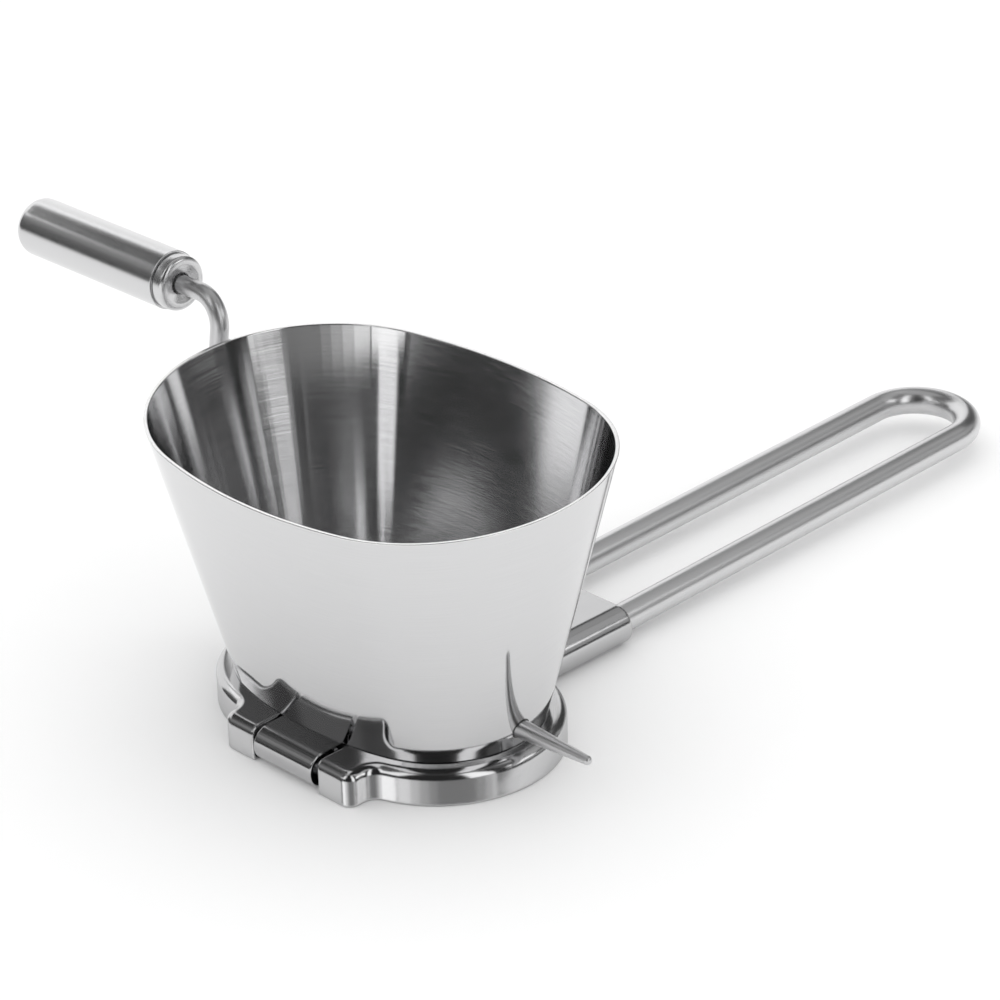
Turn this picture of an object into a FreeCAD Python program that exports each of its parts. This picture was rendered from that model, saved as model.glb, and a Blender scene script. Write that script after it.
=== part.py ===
"""Hand-cranked food mill: an oval hopper hinged on a cast base ring, with a toothed rotor over a slotted comb.

Millimetres. The origin is at the middle of the base ring, on the surface that it stands on.
+X points along the loop handle, +Y to the crank and +Z up.
"""

import FreeCAD, Part
import math
import os
from typing import NamedTuple

from FreeCAD import Vector

# Hopper foot: the outside of the wall where it meets the base ring
FOOT_HALF_WIDTH = 28.7
FOOT_HALF_LENGTH = 44.4
FOOT_SIDE_RADIUS = 90.0

# Hopper mouth: the outside of the wall at the middle of the rim
MOUTH_HALF_WIDTH = 44.2
MOUTH_HALF_LENGTH = 63.1
MOUTH_SIDE_RADIUS = 140.0
MOUTH_HEIGHT = 78.2
MOUTH_SHIFT = -0.6
RIM_TILT_DEG = 3.5
RIM_SAG = 1.5
SHEET = 1.0

# Base casting
RING_SHOULDER = 4.5
RING_HEIGHT = 9.4
RING_EDGE_ROUND = 2.2
RING_FOOT_ROUND = 0.5
SEAT_WIDTH = 4.6
SEAT_GAP = 0.1
LEDGE_WIDTH = 4.2
LEDGE_HEIGHT = 3.6

# Hinge
HINGE_OFFSET = 0.8
HINGE_SHIFT = -2.8
BARREL_RADIUS = 4.5
BARREL_HALF_LENGTH = 10.1
BARREL_SIDE_PLAY = 1.4
BARREL_NOTCH_PLAY = 0.5
HINGE_EDGE_ROUND = 0.4
LEAF_THICKNESS = 1.2
LEAF_RECESS_PLAY = 0.3
LUG_WIDTH = 11.1
LUG_NOSE = 3.3
LUG_CORNER_ROUND = 3.0
LUG_NECK_ROUND = 4.0
PIN_RADIUS = 1.5
PIN_END_WALL = 2.0
RIVET_RADIUS = 1.2
RIVET_SPACING = 12.0

# Loop handle and the tongue that holds it
WIRE_RADIUS = 3.8
WIRE_SPACING = 28.4
SOCKET_WALL = 1.4
SOCKET_DEPTH = 24.0
TONGUE_SIDE = 0.8
TONGUE_END = 66.0
TONGUE_END_ROUND = 1.0
TONGUE_WALL_GAP = 1.0
LOOP_REACH = 219.0
HANDLE_RISE_DEG = 1.1

# Comb plate and its screws
COMB_THICKNESS = 1.6
COMB_PLAY = 0.2
SLOT_SIDE_PLAY = 0.4
SLOT_END_PLAY = 1.0
SCREW_RADIUS = 1.0
SCREW_HEAD_RADIUS = 1.9
SCREW_HEAD_HEIGHT = 1.2
SCREW_TIP_WALL = 0.8
SCREW_ANGLE_DEG = 50.0

# Rotor
SHAFT_LIFT = 5.1
DISC_COUNT = 9
DISC_PITCH = 7.0
DISC_THICKNESS = 1.5
DISC_RADIUS = 12.0
TOOTH_COUNT = 16
TOOTH_DEPTH = 1.8
ROTOR_TUBE_WALL = 1.5
SPACER_WALL = 1.5
END_SPACER_LENGTH = 4.0
WASHER_THICKNESS = 1.0
THRUST_PLAY = 0.25
BUSH_WALL = 1.4
DRIVE_PIN_RADIUS = 0.9

# Crank rod
ROD_RADIUS = 2.4
RUNNING_PLAY = 0.05
WALL_HOLE_PLAY = 0.3
POINT_LENGTH = 23.0
POINT_TIP_RADIUS = 1.15
ARM_WALL_GAP = 1.6
ROD_BEND_RADIUS = 8.0
CRANK_THROW = 74.6
CRANK_LEAN_DEG = 8.4

# Grip
GRIP_RADIUS = 7.7
GRIP_TUBE_LENGTH = 55.0
GRIP_WALL = 0.9
GRIP_END_ROUND = 3.5
COLLAR_RADIUS = 7.2
COLLAR_LENGTH = 3.5
COLLAR_ROUND = 1.3
COLLAR_MOUTH_PLAY = 0.4
COLLAR_MOUTH_DEPTH = 2.0
COLLAR_SPIGOT = 9.0
GROOVE_WIDTH = 0.5
AXLE_SHOW = 6.5
GRIP_BUSH_PLACE = 28.0
GRIP_BUSH_LENGTH = 7.0
PUSH_NUT_RADIUS = 5.0
PUSH_NUT_THICKNESS = 1.0
PUSH_NUT_PLAY = 0.3
AXLE_TAIL = 2.0

# Places that follow from the sizes above
FOOT_Z = RING_HEIGHT + SEAT_GAP
SHAFT_Z = FOOT_Z + SHAFT_LIFT
HINGE_X = -(FOOT_HALF_WIDTH + RING_SHOULDER + HINGE_OFFSET)
HINGE_Z = FOOT_Z - BARREL_RADIUS
LUG_INNER = BARREL_HALF_LENGTH + BARREL_SIDE_PLAY
LUG_OUTER = LUG_INNER + LUG_WIDTH
NOSE_X = HINGE_X - LUG_NOSE
NOTCH_X = HINGE_X + BARREL_RADIUS + BARREL_NOTCH_PLAY
TONGUE_HALF_THICKNESS = WIRE_RADIUS + SOCKET_WALL
COMB_TOP = LEDGE_HEIGHT + COMB_THICKNESS
TUBE_RADIUS = ROD_RADIUS + ROTOR_TUBE_WALL
SPACER_RADIUS = TUBE_RADIUS + SPACER_WALL
STACK_HALF = (DISC_COUNT - 1) * DISC_PITCH / 2 + DISC_THICKNESS / 2
ROTOR_HALF = STACK_HALF + END_SPACER_LENGTH
BUSH_FACE = ROTOR_HALF + WASHER_THICKNESS + THRUST_PLAY
ARM_Y = MOUTH_HALF_LENGTH + RIM_SAG / 2 + ARM_WALL_GAP + ROD_RADIUS
GRIP_FACE = ARM_Y + ROD_BEND_RADIUS + AXLE_SHOW
TUBE_START = GRIP_FACE + COLLAR_LENGTH + GROOVE_WIDTH
TUBE_END = TUBE_START + GRIP_TUBE_LENGTH
GRIP_BORE = GRIP_RADIUS - GRIP_WALL
BUSH_START = TUBE_START + GRIP_BUSH_PLACE
NUT_START = BUSH_START + GRIP_BUSH_LENGTH + PUSH_NUT_PLAY
AXLE_END = NUT_START + PUSH_NUT_THICKNESS + AXLE_TAIL

X_AXIS = Vector(1, 0, 0)
Y_AXIS = Vector(0, 1, 0)
Z_AXIS = Vector(0, 0, 1)

# How far a cut runs past the piece, and how close two places count as the same
MARGIN = 5.0
SAME = 1e-4


class Oval(NamedTuple):
    """A four-arc oval across X and Y: two side arcs of one radius and two end arcs tangent to them."""

    half_width: float
    half_length: float
    side_radius: float
    center_x: float = 0.0

    def grown(self, distance):
        """The oval offset outwards by a distance, or inwards if it is negative."""
        return Oval(
            self.half_width + distance,
            self.half_length + distance,
            self.side_radius + distance,
            self.center_x,
        )

    def end_radius(self):
        """The radius of the end arcs, from the tangency of side and end."""
        a, b, r = self.half_width, self.half_length, self.side_radius
        return (2 * r * a - a * a - b * b) / (2 * (r - b))

    def end_center(self):
        """How far the centres of the end arcs lie from the middle, along Y."""
        return self.half_length - self.end_radius()

    def wire(self, z):
        """The oval as a closed wire at a height."""
        side_center = self.side_radius - self.half_width
        reach = math.hypot(side_center, self.end_center())
        join_x = self.end_radius() * side_center / reach
        join_y = self.end_center() * (1 + self.end_radius() / reach)
        corners = [
            Vector(join_x, -join_y, z),
            Vector(join_x, join_y, z),
            Vector(-join_x, join_y, z),
            Vector(-join_x, -join_y, z),
        ]
        middles = [
            Vector(self.half_width, 0, z),
            Vector(0, self.half_length, z),
            Vector(-self.half_width, 0, z),
            Vector(0, -self.half_length, z),
        ]
        arcs = []
        for i, middle in enumerate(middles):
            arcs.append(Part.Arc(corners[i], middle, corners[(i + 1) % 4]).toShape())
        outline = Part.Wire(arcs)
        outline.translate(Vector(self.center_x, 0, 0))
        return outline

    def prism(self, low, high):
        """The oval as an upright solid between two heights."""
        return Part.Face(self.wire(low)).extrude(Vector(0, 0, high - low))


FOOT = Oval(FOOT_HALF_WIDTH, FOOT_HALF_LENGTH, FOOT_SIDE_RADIUS)
MOUTH = Oval(MOUTH_HALF_WIDTH, MOUTH_HALF_LENGTH, MOUTH_SIDE_RADIUS, MOUTH_SHIFT)
RING = FOOT.grown(RING_SHOULDER)
THROAT = FOOT.grown(-SEAT_WIDTH)
OUTLET = THROAT.grown(-LEDGE_WIDTH)


def box(low, high):
    """A box between two corners."""
    size = high - low
    return Part.makeBox(size.x, size.y, size.z, low)


def hinge_block(low_x, high_x, half_length, low_z, high_z):
    """A box across the middle of the hinge."""
    low = Vector(low_x, HINGE_SHIFT - half_length, low_z)
    return box(low, Vector(high_x, HINGE_SHIFT + half_length, high_z))


def y_cylinder(radius, start, end, x=0.0, z=0.0):
    """A cylinder along Y between two places."""
    return Part.makeCylinder(radius, end - start, Vector(x, start, z), Y_AXIS)


def y_tube(outer, inner, start, end, x=0.0, z=0.0):
    """A tube along Y between two places."""
    return y_cylinder(outer, start, end, x, z).cut(y_cylinder(inner, start - MARGIN, end + MARGIN, x, z))


def beside_hinge(edge, distance):
    """Whether an edge lies across Y at one distance from the middle of the hinge, on either side."""
    place = abs(edge.CenterOfMass.y - HINGE_SHIFT)
    return edge.BoundBox.YLength < SAME and abs(place - distance) < SAME


def lug_edges(shape, low_x, high_x):
    """The upright edges on the outer sides of the hinge lugs between two places along X."""
    found = []
    for edge in shape.Edges:
        span = edge.BoundBox
        upright = span.XLength < SAME and span.ZLength > SAME
        if upright and beside_hinge(edge, LUG_OUTER) and low_x < span.XMin < high_x:
            found.append(edge)
    return found


def notch_edges(shape):
    """The front edges of the notch between the lugs, on the lugs' noses and tops."""
    found = []
    for edge in shape.Edges:
        span = edge.BoundBox
        if beside_hinge(edge, LUG_INNER) and span.ZMax > RING_FOOT_ROUND + SAME and span.XMin < NOTCH_X - SAME:
            found.append(edge)
    return found


def level_edges(shape, z):
    """The edges that lie at one height."""
    return [e for e in shape.Edges if e.BoundBox.ZLength < SAME and abs(e.CenterOfMass.z - z) < SAME]


def revolved_about_y(points, x, z):
    """A solid turned about a line along Y, from a closed profile of lines and arcs.

    An item of one (radius, y) point is a line to it. An item of two is an arc through the first to the second.
    """
    edges = []
    for i, item in enumerate(points):
        start = points[i - 1][-1]
        corners = [Vector(x + r, y, z) for r, y in [start] + item]
        if len(corners) == 2:
            edges.append(Part.LineSegment(corners[0], corners[1]).toShape())
        else:
            edges.append(Part.Arc(corners[0], corners[1], corners[2]).toShape())
    return Part.Face(Part.Wire(edges)).revolve(Vector(x, 0, z), Y_AXIS, 360)


def round_corner(center_r, center_y, radius, from_deg, to_deg):
    """A quarter-round for a turned profile, as its middle and end points."""
    middle, end = math.radians((from_deg + to_deg) / 2), math.radians(to_deg)
    return [
        (center_r + radius * math.cos(middle), center_y + radius * math.sin(middle)),
        (center_r + radius * math.cos(end), center_y + radius * math.sin(end)),
    ]


def rod_along(edges, radius):
    """A round rod along a path of lines and tangent arcs."""
    path = Part.Wire(edges)
    start = edges[0].Vertexes[0].Point
    direction = edges[0].tangentAt(edges[0].FirstParameter)
    section = Part.Wire(Part.makeCircle(radius, start, direction))
    return path.makePipeShell([section], True, False)


def leaned(shape):
    """Turns a piece of the crank about the shaft, from straight up to where the crank stands."""
    return shape.rotated(Vector(0, 0, SHAFT_Z), Y_AXIS, CRANK_LEAN_DEG)


def raised(shape):
    """Tips a piece of the handle up about the mouth of its sockets."""
    return shape.rotated(Vector(TONGUE_END, 0, TONGUE_HALF_THICKNESS), Y_AXIS, -HANDLE_RISE_DEG)


# Base casting and what is fixed to it


def tongue():
    """The flat tongue with full-round sides that holds the handle's legs."""
    root = FOOT_HALF_WIDTH + TONGUE_WALL_GAP
    half = WIRE_SPACING / 2 + TONGUE_SIDE
    thickness = 2 * TONGUE_HALF_THICKNESS
    body = box(Vector(root, -half, 0), Vector(TONGUE_END, half, thickness))
    for y in (-half, half):
        start = Vector(root, y, TONGUE_HALF_THICKNESS)
        side = Part.makeCylinder(TONGUE_HALF_THICKNESS, TONGUE_END - root, start, X_AXIS)
        body = body.fuse(side)
    body = body.removeSplitter()
    ends = [e for e in body.Edges if abs(e.BoundBox.XMin - TONGUE_END) < SAME]
    return body.makeFillet(TONGUE_END_ROUND, ends)


def handle_legs(radius, start):
    """Two cylinders on the lines of the handle's legs, from a place inside the tongue to past its end."""
    legs = []
    for y in (-WIRE_SPACING / 2, WIRE_SPACING / 2):
        base = Vector(start, y, TONGUE_HALF_THICKNESS)
        legs.append(Part.makeCylinder(radius, TONGUE_END + MARGIN - start, base, X_AXIS))
    return raised(legs[0].fuse(legs[1]))


def hinge_pin_solid(radius, end):
    """The pin's cylinder, from its blind end in the near lug to a place at the far lug."""
    blind = LUG_OUTER - PIN_END_WALL
    return y_cylinder(radius, HINGE_SHIFT - blind, HINGE_SHIFT + end, HINGE_X, HINGE_Z)


def screw_places():
    """The middles of the four comb screws, halfway across the ledge."""
    radius = THROAT.end_radius() - LEDGE_WIDTH / 2
    angle = math.radians(SCREW_ANGLE_DEG)
    x = radius * math.cos(angle)
    y = THROAT.end_center() + radius * math.sin(angle)
    return [Vector(sx * x, sy * y, 0) for sx in (-1, 1) for sy in (-1, 1)]


def screw_shanks(top):
    """The shanks of the comb screws as one group, up to a height."""
    tip = Vector(0, 0, SCREW_TIP_WALL)
    return [Part.makeCylinder(SCREW_RADIUS, top - SCREW_TIP_WALL, place + tip) for place in screw_places()]


def base_frame():
    """The ring, the two hinge lugs and the handle tongue as one casting."""
    lug_root = -THROAT.half_width
    lugs = hinge_block(NOSE_X, lug_root, LUG_OUTER, 0, RING_HEIGHT)
    body = RING.prism(0, RING_HEIGHT).fuse(lugs).removeSplitter()
    body = body.makeFillet(LUG_NECK_ROUND, lug_edges(body, HINGE_X, 0))
    body = body.makeFillet(LUG_CORNER_ROUND, lug_edges(body, NOSE_X - MARGIN, HINGE_X))
    body = body.makeFillet(RING_EDGE_ROUND, level_edges(body, RING_HEIGHT))
    body = body.makeFillet(RING_FOOT_ROUND, level_edges(body, 0))
    body = body.fuse(tongue())
    body = body.cut(THROAT.prism(LEDGE_HEIGHT, RING_HEIGHT + MARGIN))
    body = body.cut(OUTLET.prism(-MARGIN, RING_HEIGHT))
    top = RING_HEIGHT + MARGIN
    body = body.cut(hinge_block(NOSE_X - MARGIN, NOTCH_X, LUG_INNER, -MARGIN, top))
    body = body.makeFillet(HINGE_EDGE_ROUND, notch_edges(body))
    recess_floor = FOOT_Z - LEAF_THICKNESS - LEAF_RECESS_PLAY
    body = body.cut(hinge_block(NOTCH_X - MARGIN, lug_root + MARGIN, LUG_INNER, recess_floor, top))
    body = body.cut(hinge_pin_solid(PIN_RADIUS, LUG_OUTER + MARGIN))
    body = body.cut(handle_legs(WIRE_RADIUS, TONGUE_END - SOCKET_DEPTH))
    return body.cut(Part.makeCompound(screw_shanks(LEDGE_HEIGHT + MARGIN)))


def loop_handle():
    """The U of round wire, with its two legs in the tongue's sockets."""
    half = WIRE_SPACING / 2
    start = TONGUE_END - SOCKET_DEPTH
    bend = LOOP_REACH - WIRE_RADIUS - half
    z = TONGUE_HALF_THICKNESS
    path = [
        Part.LineSegment(Vector(start, -half, z), Vector(bend, -half, z)).toShape(),
        Part.Arc(Vector(bend, -half, z), Vector(bend + half, 0, z), Vector(bend, half, z)).toShape(),
        Part.LineSegment(Vector(bend, half, z), Vector(start, half, z)).toShape(),
    ]
    return raised(rod_along(path, WIRE_RADIUS))


def hinge_pin():
    """The hinge's pin, flush with the far lug."""
    return hinge_pin_solid(PIN_RADIUS, LUG_OUTER)


def disc_places():
    """Where the discs stand along the shaft."""
    return [(i - (DISC_COUNT - 1) / 2) * DISC_PITCH for i in range(DISC_COUNT)]


def comb_plate():
    """The fixed plate on the ring's ledge, with one slot for each disc."""
    plate = THROAT.grown(-COMB_PLAY).prism(LEDGE_HEIGHT, COMB_TOP)
    drop = SHAFT_Z - COMB_TOP
    half_length = math.sqrt(DISC_RADIUS**2 - drop**2) + SLOT_END_PLAY
    half_width = DISC_THICKNESS / 2 + SLOT_SIDE_PLAY
    for y in disc_places():
        low = Vector(-half_length, y - half_width, 0)
        plate = plate.cut(box(low, Vector(half_length, y + half_width, COMB_TOP + MARGIN)))
    return plate.cut(Part.makeCompound(screw_shanks(COMB_TOP + MARGIN)))


def comb_screws():
    """Four cheese-head screws through the plate into the ledge."""
    screws = []
    for place, shank in zip(screw_places(), screw_shanks(COMB_TOP)):
        head = Part.makeCylinder(SCREW_HEAD_RADIUS, SCREW_HEAD_HEIGHT, place + Vector(0, 0, COMB_TOP))
        screws.append(shank.fuse(head))
    return Part.makeCompound(screws)


# Hopper


def hopper_level(z):
    """The outside of the hopper wall at a height, on straight lines from foot to mouth."""
    share = (z - FOOT_Z) / (MOUTH_HEIGHT - FOOT_Z)
    return Oval(*[low + share * (high - low) for low, high in zip(FOOT, MOUTH)])


def hopper_cone(inset):
    """The hopper's outer shape, or with an inset its inside, run on past the rim."""
    over_rim = MOUTH_HEIGHT + MOUTH_HALF_WIDTH * math.tan(math.radians(RIM_TILT_DEG)) + RIM_SAG + MARGIN
    low = hopper_level(FOOT_Z).grown(-inset).wire(FOOT_Z)
    high = hopper_level(over_rim).grown(-inset).wire(over_rim)
    return Part.makeLoft([low, high], True, True)


def above_rim():
    """The space above the rim: a wide cylinder whose underside dips across Y and climbs towards the handle."""
    radius = (MOUTH_HALF_LENGTH**2 + RIM_SAG**2) / (2 * RIM_SAG)
    tilt = math.radians(RIM_TILT_DEG)
    along = Vector(math.cos(tilt), 0, math.sin(tilt))
    up = Vector(-math.sin(tilt), 0, math.cos(tilt))
    length = 4 * MOUTH_HALF_WIDTH
    start = Vector(0, 0, MOUTH_HEIGHT) + up * radius - along * (length / 2)
    return Part.makeCylinder(radius, length, start, along)


def hopper_shell():
    """The flared sheet wall, open at both ends, with a hole in each end for the shaft."""
    wall = hopper_cone(0).cut(hopper_cone(SHEET)).cut(above_rim())
    reach = MOUTH_HALF_LENGTH
    return wall.cut(y_cylinder(ROD_RADIUS + WALL_HOLE_PLAY, -reach, reach, 0, SHAFT_Z))


def rivet_places():
    """The middles of the two rivets, halfway across the flange."""
    x = -(THROAT.half_width + FOOT.half_width - SHEET) / 2
    z = FOOT_Z - LEAF_THICKNESS
    return [Vector(x, HINGE_SHIFT + sign * RIVET_SPACING / 2, z) for sign in (-1, 1)]


def rivet_solids():
    """The rivets' shanks, flush with the strap below and the flange above."""
    length = LEAF_THICKNESS + SHEET
    return Part.makeCompound([Part.makeCylinder(RIVET_RADIUS, length, place) for place in rivet_places()])


def seat_flange():
    """The flat flange inside the foot of the wall, which sits on the ring."""
    blank = hopper_cone(SHEET).common(FOOT.prism(FOOT_Z, FOOT_Z + SHEET))
    return blank.cut(THROAT.prism(FOOT_Z - MARGIN, FOOT_Z + MARGIN)).cut(rivet_solids())


def hinge_leaf():
    """The rolled barrel and its strap, which lies under the flange."""
    low = HINGE_SHIFT - BARREL_HALF_LENGTH
    high = HINGE_SHIFT + BARREL_HALF_LENGTH
    barrel = y_cylinder(BARREL_RADIUS, low, high, HINGE_X, HINGE_Z)
    rims = [e for e in barrel.Edges if isinstance(e.Curve, Part.Circle)]
    barrel = barrel.makeFillet(HINGE_EDGE_ROUND, rims)
    strap = hinge_block(HINGE_X, -THROAT.half_width, BARREL_HALF_LENGTH, FOOT_Z - LEAF_THICKNESS, FOOT_Z)
    leaf = barrel.fuse(strap).removeSplitter()
    bore = y_cylinder(PIN_RADIUS + RUNNING_PLAY, low - MARGIN, high + MARGIN, HINGE_X, HINGE_Z)
    return leaf.cut(bore).cut(rivet_solids())


def shaft_bush(side):
    """A shaft bearing inside one end wall, from the rotor's end to the sheet."""
    reach = MOUTH_HALF_LENGTH
    start, end = sorted((side * BUSH_FACE, side * reach))
    sleeve = y_tube(ROD_RADIUS + RUNNING_PLAY + BUSH_WALL, ROD_RADIUS + RUNNING_PLAY, start, end, 0, SHAFT_Z)
    return sleeve.common(hopper_cone(SHEET))


# Crank and rotor


def drive_pin_solid():
    """The cross pin through the rotor's sleeve and the shaft, under a spacer."""
    start = Vector(0, DISC_PITCH / 2, SHAFT_Z - TUBE_RADIUS)
    pin = Part.makeCylinder(DRIVE_PIN_RADIUS, 2 * TUBE_RADIUS, start, Z_AXIS)
    return pin.common(y_cylinder(TUBE_RADIUS, 0, DISC_PITCH, 0, SHAFT_Z))


def point_start():
    """Where the shaft leaves the end wall and its taper starts."""
    return -hopper_level(SHAFT_Z).half_length


def point():
    """The tapered free end of the shaft, with a round tip."""
    start = point_start()
    tip_center = start - POINT_LENGTH + POINT_TIP_RADIUS
    profile = [
        [(0, start)],
        [(ROD_RADIUS, start)],
        [(POINT_TIP_RADIUS, tip_center)],
        round_corner(0, tip_center, POINT_TIP_RADIUS, 0, -90),
    ]
    return revolved_about_y(profile, 0, SHAFT_Z)


def crank_rod():
    """One rod: tapered point, shaft, arm and the grip's axle, with two equal bends."""
    top = SHAFT_Z + CRANK_THROW
    r = ROD_BEND_RADIUS
    k = r * (1 - math.sqrt(0.5))
    start = Vector(0, point_start(), SHAFT_Z)
    low_in = Vector(0, ARM_Y - r, SHAFT_Z)
    low_out = Vector(0, ARM_Y, SHAFT_Z + r)
    high_in = Vector(0, ARM_Y, top - r)
    high_out = Vector(0, ARM_Y + r, top)
    end = Vector(0, AXLE_END, top)
    path = [
        Part.LineSegment(start, low_in).toShape(),
        Part.Arc(low_in, Vector(0, ARM_Y - k, SHAFT_Z + k), low_out).toShape(),
        Part.LineSegment(low_out, high_in).toShape(),
        Part.Arc(high_in, Vector(0, ARM_Y + k, top - k), high_out).toShape(),
        Part.LineSegment(high_out, end).toShape(),
    ]
    rod = rod_along(path, ROD_RADIUS).fuse(point()).removeSplitter()
    return leaned(rod.cut(drive_pin_solid()))


def rotor_tube():
    """The sleeve on the shaft that carries the discs and spacers."""
    sleeve = y_tube(TUBE_RADIUS, ROD_RADIUS, -ROTOR_HALF, ROTOR_HALF, 0, SHAFT_Z)
    return leaned(sleeve.cut(drive_pin_solid()))


def cutter_disc(y):
    """One toothed disc: each tooth rises along a slant and drops straight back to the root."""
    step = 2 * math.pi / TOOTH_COUNT
    root = DISC_RADIUS - TOOTH_DEPTH
    corners = []
    for i in range(TOOTH_COUNT):
        angle = i * step
        for radius in (root, DISC_RADIUS):
            corners.append(Vector(radius * math.sin(angle), y, SHAFT_Z + radius * math.cos(angle)))
    corners.append(corners[0])
    blank = Part.Face(Part.makePolygon(corners)).extrude(Vector(0, DISC_THICKNESS, 0))
    blank.translate(Vector(0, -DISC_THICKNESS / 2, 0))
    bore = y_cylinder(TUBE_RADIUS, y - MARGIN, y + MARGIN, 0, SHAFT_Z)
    return leaned(blank.cut(bore))


def rotor_spacers():
    """The sleeves between the discs and the two at the ends of the stack."""
    half = DISC_THICKNESS / 2
    places = disc_places()
    spans = [(low + half, high - half) for low, high in zip(places, places[1:])]
    spans.append((-ROTOR_HALF, -STACK_HALF))
    spans.append((STACK_HALF, ROTOR_HALF))
    sleeves = [y_tube(SPACER_RADIUS, TUBE_RADIUS, low, high, 0, SHAFT_Z) for low, high in spans]
    return Part.makeCompound(sleeves)


def rotor_washers():
    """The thrust washers between the rotor and the bushes."""
    edge = ROTOR_HALF + WASHER_THICKNESS
    spans = [(-edge, -ROTOR_HALF), (ROTOR_HALF, edge)]
    washers = [y_tube(SPACER_RADIUS, ROD_RADIUS, low, high, 0, SHAFT_Z) for low, high in spans]
    return Part.makeCompound(washers)


def axle_push_nut():
    """The push-on nut near the end of the axle, inside the grip."""
    top = SHAFT_Z + CRANK_THROW
    return leaned(y_tube(PUSH_NUT_RADIUS, ROD_RADIUS, NUT_START, NUT_START + PUSH_NUT_THICKNESS, 0, top))


# Grip


def grip_tube():
    """The tube of the grip, closed at its far end with a rounded edge."""
    corner_r = GRIP_RADIUS - GRIP_END_ROUND
    inner_round = GRIP_END_ROUND - GRIP_WALL
    corner_y = TUBE_END - GRIP_END_ROUND
    profile = [
        [(GRIP_BORE, TUBE_START)],
        [(GRIP_RADIUS, TUBE_START)],
        [(GRIP_RADIUS, corner_y)],
        round_corner(corner_r, corner_y, GRIP_END_ROUND, 0, 90),
        [(0, TUBE_END)],
        [(0, TUBE_END - GRIP_WALL)],
        [(corner_r, TUBE_END - GRIP_WALL)],
        round_corner(corner_r, corner_y, inner_round, 90, 0),
    ]
    return leaned(revolved_about_y(profile, 0, SHAFT_Z + CRANK_THROW))


def grip_collar():
    """The rounded end piece of the grip, with a spigot in the tube and a bearing bore behind a wider mouth."""
    bore = ROD_RADIUS + RUNNING_PLAY
    mouth = ROD_RADIUS + COLLAR_MOUTH_PLAY
    flange_end = GRIP_FACE + COLLAR_LENGTH
    corner_r = COLLAR_RADIUS - COLLAR_ROUND
    corner_y = GRIP_FACE + COLLAR_ROUND
    profile = [
        [(mouth, GRIP_FACE)],
        [(corner_r, GRIP_FACE)],
        round_corner(corner_r, corner_y, COLLAR_ROUND, -90, 0),
        [(COLLAR_RADIUS, flange_end)],
        [(GRIP_BORE, flange_end)],
        [(GRIP_BORE, TUBE_START + COLLAR_SPIGOT)],
        [(bore, TUBE_START + COLLAR_SPIGOT)],
        [(bore, GRIP_FACE + COLLAR_MOUTH_DEPTH)],
        [(mouth, GRIP_FACE + COLLAR_MOUTH_DEPTH)],
    ]
    return leaned(revolved_about_y(profile, 0, SHAFT_Z + CRANK_THROW))


def grip_bush():
    """The inner bearing of the grip."""
    end = BUSH_START + GRIP_BUSH_LENGTH
    sleeve = y_tube(GRIP_BORE, ROD_RADIUS + RUNNING_PLAY, BUSH_START, end, 0, SHAFT_Z + CRANK_THROW)
    return leaned(sleeve)


def pieces():
    """Every piece by its name."""
    made = {
        "base_frame": base_frame(),
        "loop_handle": loop_handle(),
        "hinge_pin": hinge_pin(),
        "comb_plate": comb_plate(),
        "comb_screws": comb_screws(),
        "hopper_shell": hopper_shell(),
        "seat_flange": seat_flange(),
        "hinge_leaf": hinge_leaf(),
        "leaf_rivets": rivet_solids(),
        "bush_crank_side": shaft_bush(1),
        "bush_point_side": shaft_bush(-1),
        "crank_rod": crank_rod(),
        "rotor_tube": rotor_tube(),
        "rotor_spacers": rotor_spacers(),
        "rotor_washers": rotor_washers(),
        "drive_pin": leaned(drive_pin_solid()),
        "axle_push_nut": axle_push_nut(),
        "grip_tube": grip_tube(),
        "grip_collar": grip_collar(),
        "grip_bush": grip_bush(),
    }
    for number, y in enumerate(disc_places(), start=1):
        made[f"cutter_disc_{number}"] = cutter_disc(y)
    return made


def main():
    """Builds every piece, prints its volume and writes its file."""
    os.makedirs("parts", exist_ok=True)
    for name, shape in pieces().items():
        state = "valid" if shape.isValid() else "not valid"
        print(f"{name}: {len(shape.Solids)} solid(s), {shape.Volume:.1f} mm3, {state}")
        shape.exportStep(os.path.join("parts", f"{name}.step"))


main()
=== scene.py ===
"""Looks of the hand-cranked food mill: its surfaces, its steels and the small studio that it stands in.

Metres, in the frame of the solids: the origin is at the middle of the base ring on the table, +X runs along
the loop handle, +Y to the crank and +Z up.
"""

import logging
import math
from dataclasses import dataclass
from enum import Enum
from typing import Optional, Sequence

import bmesh
import bpy
import numpy as np
from mathutils import Matrix, Vector


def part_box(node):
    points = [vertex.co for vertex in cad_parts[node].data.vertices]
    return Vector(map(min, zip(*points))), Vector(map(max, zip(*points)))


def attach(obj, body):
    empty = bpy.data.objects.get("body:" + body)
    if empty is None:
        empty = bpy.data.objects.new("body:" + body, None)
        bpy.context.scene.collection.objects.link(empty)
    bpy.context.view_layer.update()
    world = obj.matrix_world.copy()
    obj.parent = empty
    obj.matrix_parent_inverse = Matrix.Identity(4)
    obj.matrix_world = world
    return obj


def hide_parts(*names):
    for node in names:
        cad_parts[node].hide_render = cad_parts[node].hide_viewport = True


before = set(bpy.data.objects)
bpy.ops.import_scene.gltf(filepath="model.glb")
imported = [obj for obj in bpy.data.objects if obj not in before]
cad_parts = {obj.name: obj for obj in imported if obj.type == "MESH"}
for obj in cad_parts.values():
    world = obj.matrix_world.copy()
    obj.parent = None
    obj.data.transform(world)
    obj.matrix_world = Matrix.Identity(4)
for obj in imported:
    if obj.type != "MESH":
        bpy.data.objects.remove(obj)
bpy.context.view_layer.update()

LOG = logging.getLogger("food_mill")
MM = 0.001
SAME = 1e-7
TINY = 1e-12
NEARLY_UPRIGHT = 0.9
UV_NAME = "UVMap"
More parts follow.
